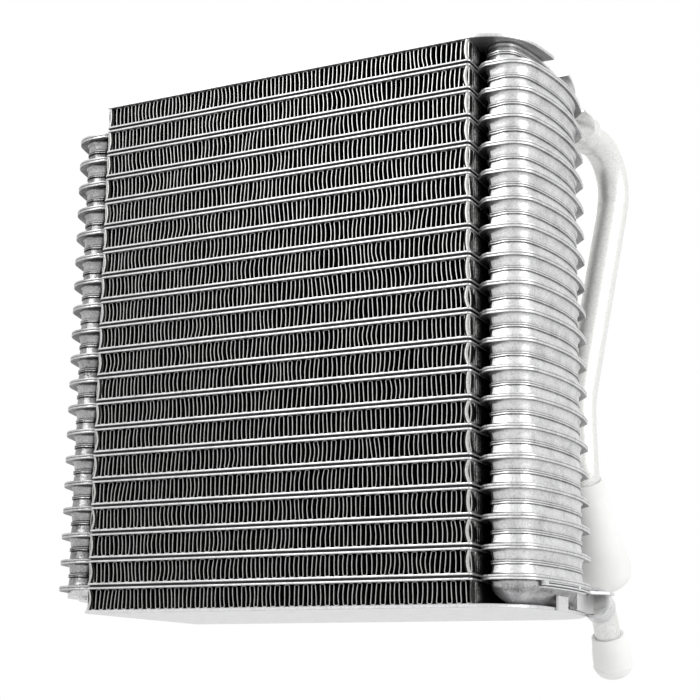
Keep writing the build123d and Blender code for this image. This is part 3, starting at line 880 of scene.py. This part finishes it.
def bent_line(corners, radii, steps=22):
    """Straight runs joined by arcs of the given radii, with the direction at every point.

    An arc starts radius / tan(half the corner's angle) before the corner. Its point at angle a is its centre
    + cos a times the arm to its first point + sin a times the radius, taken along the run that comes in.
    Long runs get more points at RUN_STEPS, so that their smooth shading stays even.
    """
    corners = np.array(corners, float)
    points, directions = [corners[0]], [corners[1] - corners[0]]
    for before, corner, after, radius in zip(corners, corners[1:], corners[2:], radii):
        u = (before - corner) / np.linalg.norm(before - corner)
        v = (after - corner) / np.linalg.norm(after - corner)
        half_angle = math.acos(float(np.clip(u @ v, -1, 1))) / 2
        middle = (u + v) / np.linalg.norm(u + v)
        centre = corner + middle * radius / math.sin(half_angle)
        first = corner + u * radius / math.tan(half_angle) - centre
        sweep = np.linspace(0, math.pi - 2 * half_angle, steps)[:, None]
        points += list(centre + np.cos(sweep) * first - np.sin(sweep) * u * radius)
        directions += list(-np.sin(sweep) * first / radius - np.cos(sweep) * u)
    points.append(corners[-1])
    directions.append(corners[-1] - corners[-2])
    fine_points, fine_directions = [points[0]], [directions[0]]
    for before, point, direction in zip(points, points[1:], directions[1:]):
        if np.linalg.norm(point - before) > LONG_RUN:
            for step in RUN_STEPS:
                fine_points.append(before + (point - before) * step)
                fine_directions.append(point - before)
        fine_points.append(point)
        fine_directions.append(direction)
    directions = np.array(fine_directions)
    return np.array(fine_points), directions / np.linalg.norm(directions, axis=1)[:, None]


corners = [PIPE_START, PIPE_ELBOW, PIPE_KNEE, PIPE_HEEL, PIPE_HEEL + PORT * PIPE_TAIL]
pipe_points, pipe_directions = bent_line(corners, [ELBOW_RADIUS, KNEE_RADIUS, HEEL_RADIUS])
piece(
    "suction_line",
    [tube_shell(pipe_points, pipe_directions, PIPE_RADIUS)],
    pipe_metal,
    "suction_pipe",
)

# INLET HEADER AND NECK
# Beside the bowl a pressed aluminium duct leads the inlet to the tank. Its rim and a strip along the
# lowest flange are crimped over the flange's edge. A short drawn neck is brazed into the round socket
# at its rear corner and bends down to its open end.
NECK_RADIUS = 5.4
NECK_START = np.array((FLANGE_TIP - 3.9, HALF_DEPTH - 13.0, 6.3))
NECK_TURN = np.array((0.4, 11.5, -3.0))
NECK_PORT = NECK_START + NECK_TURN
NECK_TAIL = 23.0
NECK_BEND = 12.0
SOCKET_RADIUS = 6.6
HEADER_FRONT = 3.0
HEADER_REAR = NECK_START[1] + SOCKET_RADIUS
HEADER_RIM = 1.4
HEADER_MARGIN = 1.9
RIM_REACH = 118.9
header_curve = flange_curve(HEADER_MARGIN)
header_curve = header_curve[header_curve[:, 1] > HEADER_FRONT][:-CUT_POINTS]
header_start = [(CUP_INNER, HEADER_FRONT), (header_curve[0, 0], HEADER_FRONT)]
header_end = [(CUP_INNER, HEADER_REAR)]
header_line = np.concatenate([header_start, header_curve, [(NECK_START[0], HEADER_REAR)], header_end])
rim_corner = [(RIM_REACH, NECK_START[1]), (RIM_REACH, HEADER_REAR)]
header_rim = np.concatenate([header_start, header_curve, rim_corner, header_end])
# A dark block, all in painted shade, stands for the shadowed slot in front of the duct; then the socket from
# inside the duct to its mouth.
hole_shadow_line = np.array([(112.4, -5.5), (113.9, -5.5), (113.6, 6.5), (112.1, 6.5)])
hole_shadow_points, hole_shadow_faces, hole_shadow_shade = slab(hole_shadow_line, PLATE_THICKNESS - 0.1, PLATE_THICKNESS + 1.1, ease=0.1)
socket_along = np.array([0.0, 7.3, 8.1, 8.5, 8.5])
socket_radius = np.array([SOCKET_RADIUS, SOCKET_RADIUS, 6.5, 6.2, 5.0])
neck_way = NECK_TURN / np.linalg.norm(NECK_TURN)
socket_centres = NECK_START + socket_along[:, None] * neck_way

RAIL_FRONT = -30.0
RAIL_REAR = 38.0
# Inset, depth, bottom, top, front, rear and shade of a strip in painted shade that stands for the dark gap,
# the three folds of the crimped strip and its two clips. The heights count from the underside of the lowest
# flange.
RAILS = (
    (1.2, 2.0, -2.2, -0.02, RAIL_FRONT, RAIL_REAR, 0.95),
    (0.3, 2.0, -0.5, -0.02, RAIL_FRONT, RAIL_REAR, 0.0),
    (0.0, 2.0, -1.6, -1.0, RAIL_FRONT, RAIL_REAR, 0.0),
    (0.4, 2.0, -2.6, -2.1, RAIL_FRONT, 12.0, 0.0),
    (-0.15, 1.5, -1.7, 0.1, -29.5, -27.5, 0.0),
    (-0.15, 1.5, -1.7, 0.1, -1.0, 1.5, 0.0),
)


def crimp_rail(inset, depth, bottom, top, front, rear, shade):
    """Narrow strip that follows the flange's edge from front to rear between two heights."""
    curve = flange_curve(inset)
    y = np.linspace(front, rear, 24)
    x = np.interp(y, curve[:, 1], curve[:, 0])
    line = np.concatenate([np.stack([x, y], axis=-1), np.stack([x - depth, y], axis=-1)[::-1]])
    points, faces, painted_shade = slab(line, lowest + bottom, lowest + top, ease=0.1)
    return points, faces, np.full(len(painted_shade), shade)


piece(
    "inlet_duct",
    [
        slab(header_line, PLATE_THICKNESS, lowest - HEADER_RIM + 0.2, ease=0.3),
        slab(header_rim, lowest - HEADER_RIM, lowest, ease=0.2),
        (hole_shadow_points, hole_shadow_faces, np.ones(len(hole_shadow_shade))),
        *[crimp_rail(*rail) for rail in RAILS],
        tube_shell(socket_centres, neck_way, socket_radius),
    ],
    end_metal,
    "inlet_header",
)
corners = [NECK_START, NECK_PORT, NECK_PORT + PORT * NECK_TAIL]
neck_points, neck_directions = bent_line(corners, [NECK_BEND])
piece(
    "inlet_stub",
    [tube_shell(neck_points, neck_directions, NECK_RADIUS)],
    pipe_metal,
    "inlet_neck",
)

# SEALING CAPS
# Pale soft plastic caps, moulded in one piece and pushed over both pipe ends for transport. They
# flare towards their closed, domed ends.
SUCTION_MOUTH = 3.2
INLET_MOUTH = 10.9
DOME_POINTS = 9
CAP_POINTS = 56


def plastic(name, colour, shade):
    """Pale moulded plastic with a faint cloudy tint and a fine matt skin."""
    material = bpy.data.materials.new(name)
    material.use_nodes = True
    nodes = material.node_tree
    bsdf = nodes.nodes["Principled BSDF"]
    bsdf.inputs["Specular IOR Level"].default_value = 0.45
    place = shader(nodes, "ShaderNodeTexCoord")
    cloud = shader(nodes, "ShaderNodeTexNoise", {"Scale": 90.0, "Detail": 3.0})
    fine = shader(nodes, "ShaderNodeTexNoise", {"Scale": 1200.0, "Detail": 2.0})
    tint = shader(nodes, "ShaderNodeMix", data_type="RGBA")
    tint.inputs["A"].default_value = (*colour, 1.0)
    tint.inputs["B"].default_value = (*shade, 1.0)
    rough = shader(nodes, "ShaderNodeMapRange", {"To Min": 0.4, "To Max": 0.6})
    relief = shader(nodes, "ShaderNodeBump", {"Strength": 0.2, "Distance": 0.00004})
    for start, end in (
        (place.outputs["Object"], cloud.inputs["Vector"]),
        (place.outputs["Object"], fine.inputs["Vector"]),
        (cloud.outputs["Fac"], tint.inputs["Factor"]),
        (tint.outputs["Result"], bsdf.inputs["Base Color"]),
        (cloud.outputs["Fac"], rough.inputs["Value"]),
        (rough.outputs["Result"], bsdf.inputs["Roughness"]),
        (fine.outputs["Fac"], relief.inputs["Height"]),
        (relief.outputs["Normal"], bsdf.inputs["Normal"]),
    ):
        nodes.links.new(start, end)
    return material


cap_plastic = plastic("cap_plastic", (0.88, 0.88, 0.87), (0.78, 0.78, 0.77))


def cap_shell(mouth, along, radius, dome_length, dome_radius):
    """Shell turned about a port's axis from distances along it and radii, closed by a dome.

    The dome is dome_length sin(a) long at the radius dome_radius cos(a) to the power 0.8.
    """
    turn = np.linspace(0, 1, DOME_POINTS)[1:-1] * math.pi / 2
    along = np.concatenate([along, along[-1] + dome_length * np.sin(turn)])
    radius = np.concatenate([radius, dome_radius * np.cos(turn) ** 0.8])
    return tube_shell(mouth + along[:, None] * PORT, PORT, radius, CAP_POINTS)


suction_along = [6.0, 0.3, 0.0, 0.4, 8.0, 16.0, 23.0, 28.0, 33.0, 38.0, 43.1]
suction_radius = [7.1, 7.1, 7.6, 8.1, 8.5, 8.87, 9.3, 10.7, 12.2, 13.05, 13.6]
suction_shell = cap_shell(
    PIPE_HEEL + PORT * SUCTION_MOUTH, suction_along, suction_radius, dome_length=8.9, dome_radius=13.6
)
piece("suction_seal", [suction_shell], cap_plastic, "suction_cap")

inlet_along = [5.0, 0.3, 0.0, 0.35, 4.0, 6.5, 9.0, 13.0, 13.4, 13.9, 14.1]
inlet_radius = [5.5, 5.5, 6.5, 6.95, 7.26, 7.7, 7.98, 8.1, 8.4, 8.42, 8.1]
inlet_shell = cap_shell(
    NECK_PORT + PORT * INLET_MOUTH, inlet_along, inlet_radius, dome_length=5.4, dome_radius=8.05
)
piece("inlet_seal", [inlet_shell], cap_plastic, "inlet_cap")
